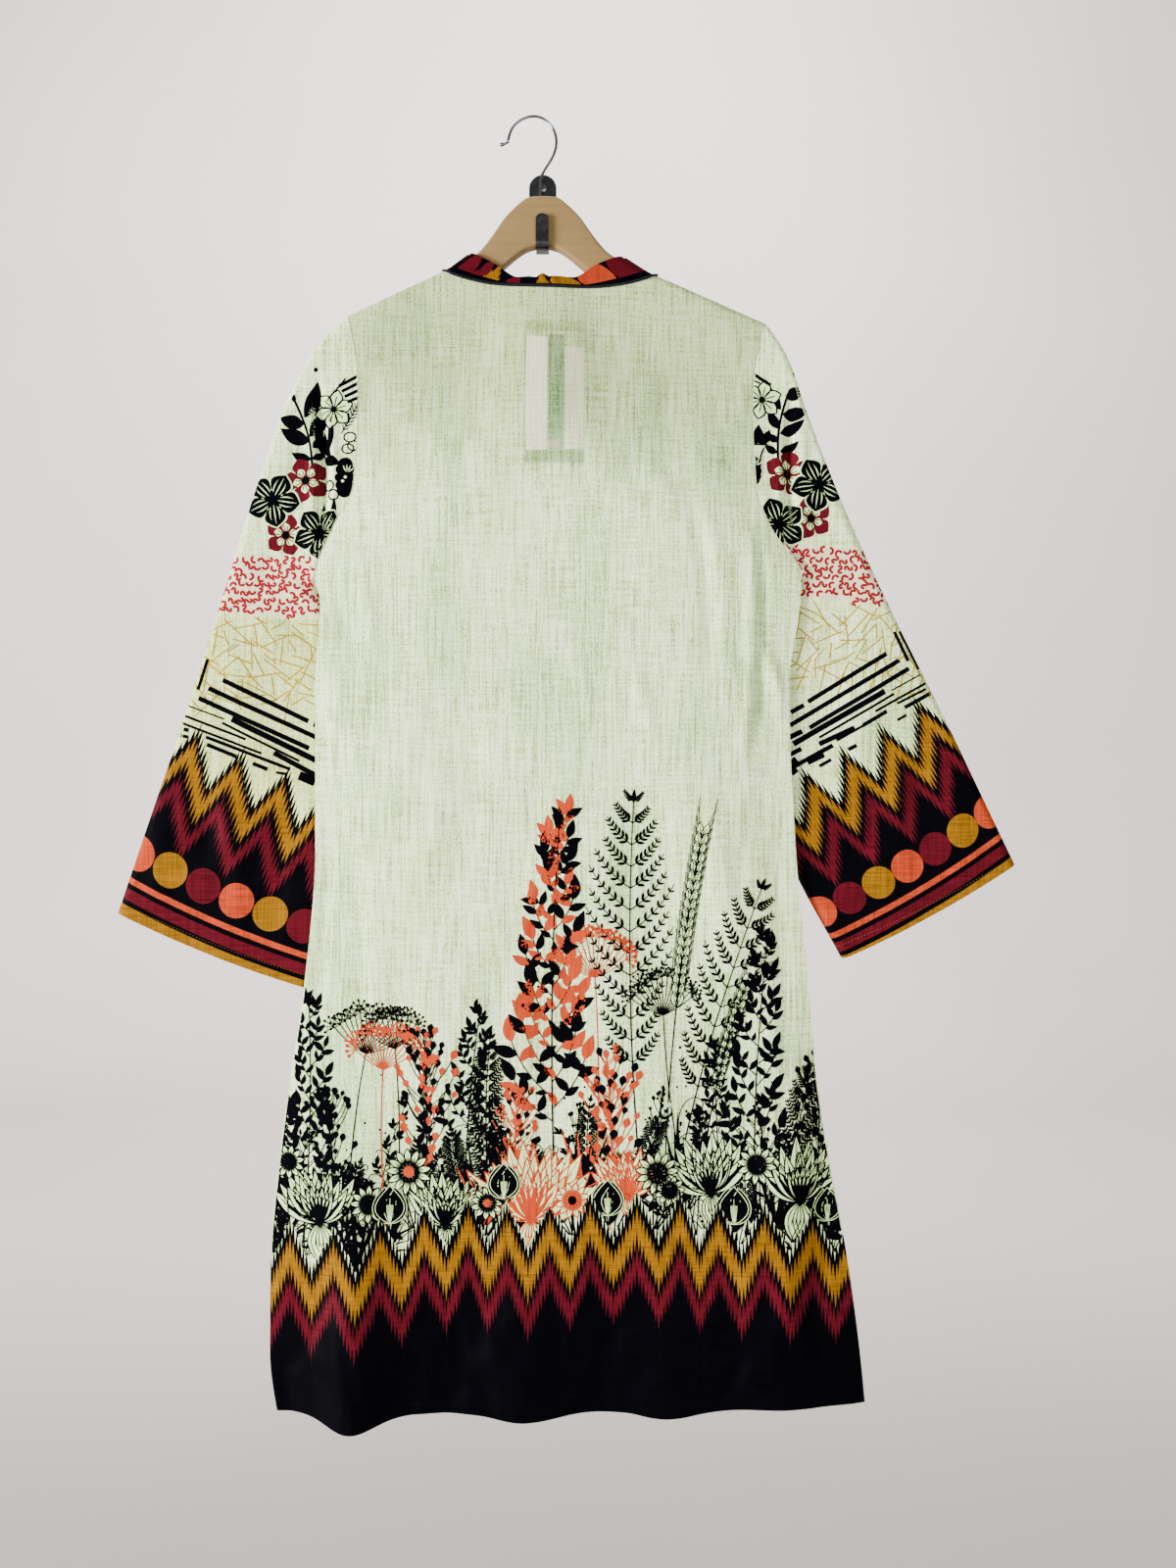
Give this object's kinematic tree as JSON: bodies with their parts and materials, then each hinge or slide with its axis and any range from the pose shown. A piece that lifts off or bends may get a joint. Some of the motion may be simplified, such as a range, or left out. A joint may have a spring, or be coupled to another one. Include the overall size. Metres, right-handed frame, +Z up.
{
  "type": "long kurta tunic with wide sleeves on a hanger with a wall hook",
  "caption": "Long cotton kurta tunic with wide sleeves, a low standing collar and side slits, on a wooden hanger held by a wall hook, seen from its back",
  "frame": {"origin": "on the rear face of the wall hook's plate, 18 mm below its screw, in the wall's plane", "axes": "+Z up; +Y into the wall, so the garment hangs in front of the wall at negative Y and shows its back; +X to the right of someone who faces it"},
  "size_m": [0.8861, 0.0613, 1.2862],
  "materials": {
    "printed_cotton": "matte slub cotton, printed",
    "pale_cotton": "matte plain cotton",
    "collar_cotton": "matte printed cotton",
    "black_cotton": "matte plain cotton",
    "sleeve_cotton": "matte slub cotton, printed",
    "beech": "satin lacquer",
    "chromed_wire": "polished",
    "dark_metal": "satin dark metal",
    "screw_metal": "satin"
  },
  "bodies": {
    "root": {"back_panel": "printed_cotton", "front_panel": "printed_cotton", "placket": "pale_cotton", "collar_band": "collar_cotton", "collar_piping": "black_cotton", "sleeve_left": "sleeve_cotton", "sleeve_right": "sleeve_cotton", "hanger_body": "beech", "hanger_hook": "chromed_wire", "wall_hook": "dark_metal", "wall_screw": "screw_metal"}
  },
  "joints": []
}
